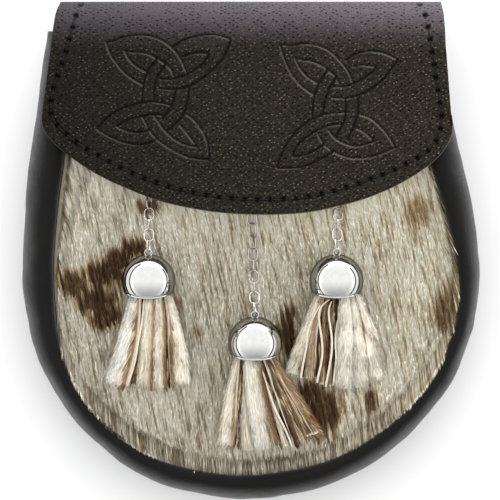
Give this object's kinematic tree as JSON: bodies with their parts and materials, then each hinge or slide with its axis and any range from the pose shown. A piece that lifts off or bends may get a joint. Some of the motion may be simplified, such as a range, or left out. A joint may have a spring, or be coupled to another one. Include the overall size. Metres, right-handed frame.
{
  "type": "sporran pouch",
  "caption": "Rounded leather sporran pouch with a fold-over flap tooled with knotwork, a hair-on hide front and hide tassels in bright caps on chains.",
  "frame": {"origin": "middle of the footprint at the level of the back rim on which the pouch lies", "axes": "+X to the right in a front view, +Y up towards the folded top edge, +Z out of the front, away from the wearer"},
  "size_m": [0.19, 0.2065, 0.0576],
  "materials": {
    "gusset_leather": "smooth fine-grained dark leather, semi-matt",
    "back_leather": "plain dark leather, matt",
    "flap_leather": "dark brown-black pigskin grain with pores, tooled knots, semi-matt",
    "loop_leather": "dark leather, semi-matt",
    "hair_on_hide": "short glossy cream hair with brown spots",
    "tassel_hide": "cream hair-on hide strips with pale cut edges",
    "cap_chrome": "mirror polished",
    "chain_metal": "polished silver-coloured wire",
    "snap_metal": "dull metal"
  },
  "bodies": {
    "root": {"gusset": "gusset_leather", "back_panel": "back_leather", "fur_panel": "hair_on_hide", "flap": "flap_leather", "flap_snap": "snap_metal", "belt_loop_left": "loop_leather", "belt_loop_right": "loop_leather", "chain_staple_left": "chain_metal", "chain_left_link_01": "chain_metal", "chain_left_link_02": "chain_metal", "chain_left_link_03": "chain_metal", "chain_left_link_04": "chain_metal", "chain_left_link_05": "chain_metal", "chain_left_link_06": "chain_metal", "cap_left": "cap_chrome", "tassel_left": "tassel_hide", "chain_staple_centre": "chain_metal", "chain_centre_link_01": "chain_metal", "chain_centre_link_02": "chain_metal", "chain_centre_link_03": "chain_metal", "chain_centre_link_04": "chain_metal", "chain_centre_link_05": "chain_metal", "chain_centre_link_06": "chain_metal", "chain_centre_link_07": "chain_metal", "chain_centre_link_08": "chain_metal", "chain_centre_link_09": "chain_metal", "chain_centre_link_10": "chain_metal", "chain_centre_link_11": "chain_metal", "cap_centre": "cap_chrome", "tassel_centre": "tassel_hide", "chain_staple_right": "chain_metal", "chain_right_link_01": "chain_metal", "chain_right_link_02": "chain_metal", "chain_right_link_03": "chain_metal", "chain_right_link_04": "chain_metal", "chain_right_link_05": "chain_metal", "chain_right_link_06": "chain_metal", "cap_right": "cap_chrome", "tassel_right": "tassel_hide"}
  },
  "joints": []
}
